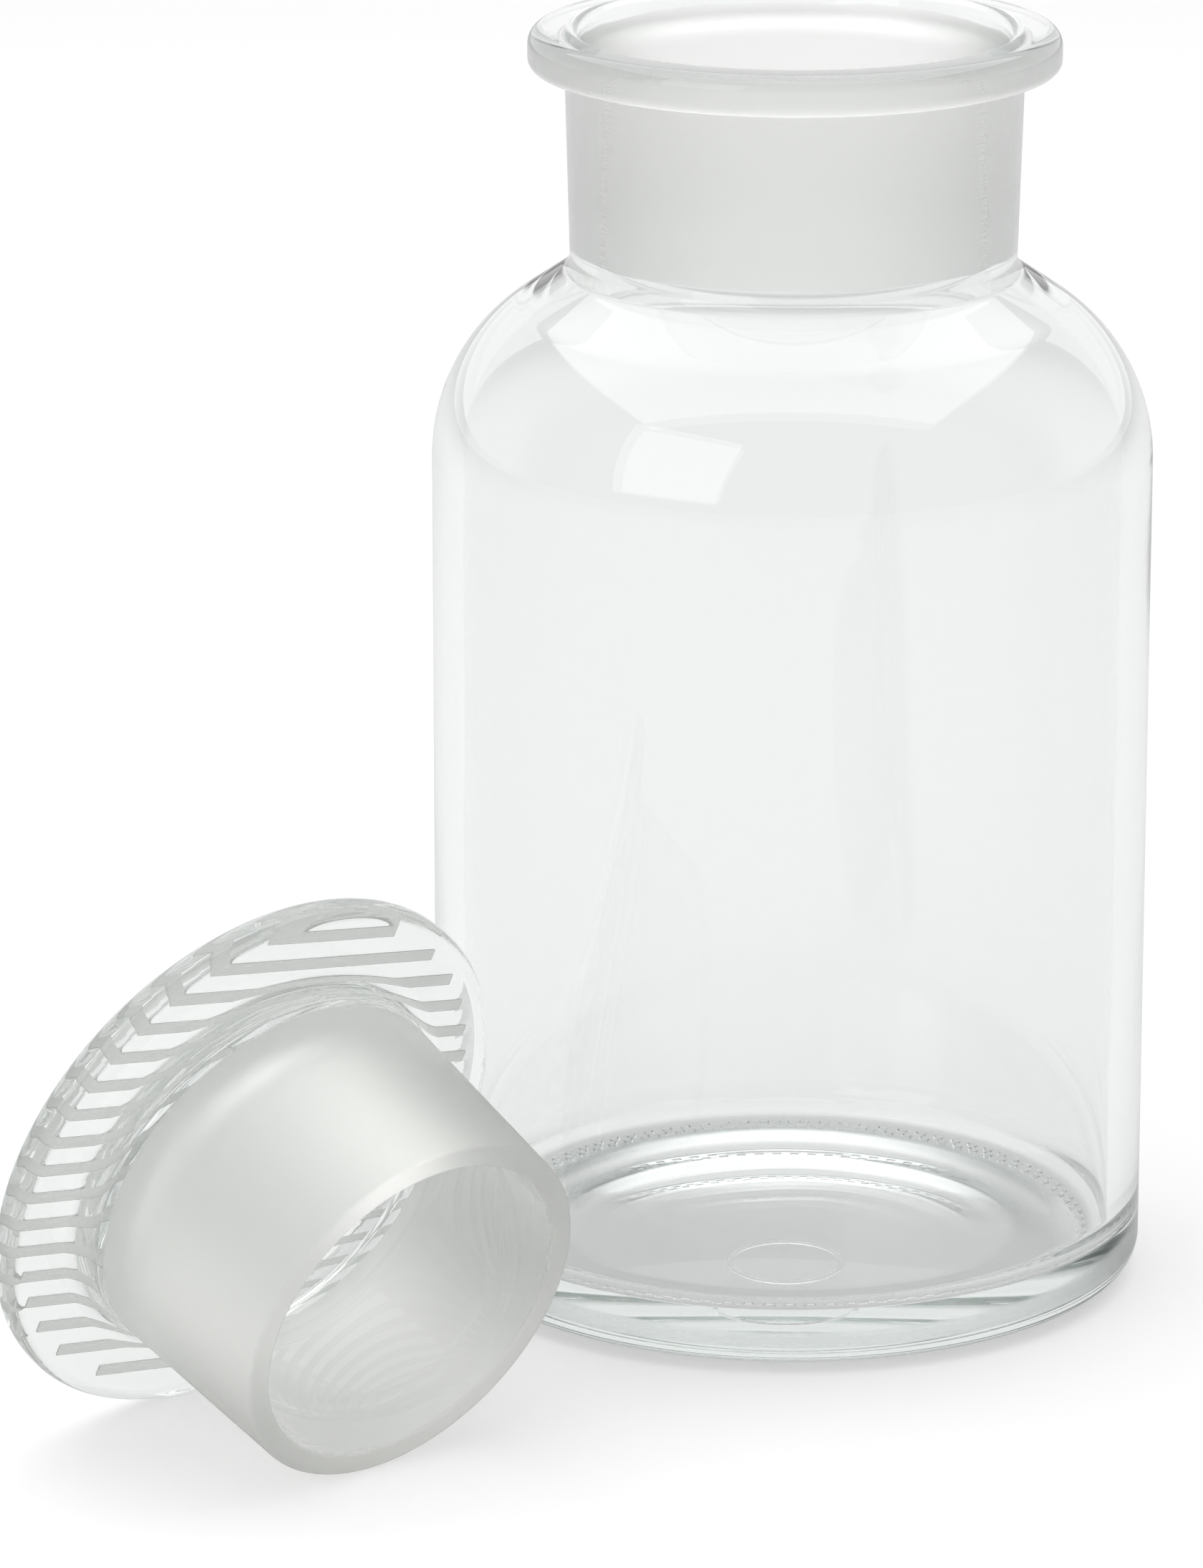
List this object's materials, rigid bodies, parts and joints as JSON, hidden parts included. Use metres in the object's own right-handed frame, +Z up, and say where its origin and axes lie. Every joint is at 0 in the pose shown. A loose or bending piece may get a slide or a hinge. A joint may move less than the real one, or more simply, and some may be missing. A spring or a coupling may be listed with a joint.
{
  "type": "stoppered glass bottle",
  "caption": "Wide-mouth clear glass bottle with a ground neck, and its hollow ground-glass stopper with a ribbed flat head lying beside it.",
  "frame": {"origin": "on the table, at the middle of the pair's box in plan", "axes": "+Z up along the bottle's axis, +Y away from the viewer of the picture, +X to that viewer's right"},
  "size_m": [0.1644, 0.174, 0.19],
  "materials": {
    "bottle_glass": "clear polished glass, matt ground inside the neck",
    "stopper_glass": "clear pressed head, matt ground plug"
  },
  "bodies": {
    "bottle": {"bottle": "bottle_glass"},
    "stopper": {"stopper": "stopper_glass"}
  },
  "joints": [
    {"name": "stopper_lift", "type": "slide", "parent": "bottle", "child": "stopper", "axis": [0, 0, 1], "range_m": [0, 0.2]}
  ]
}
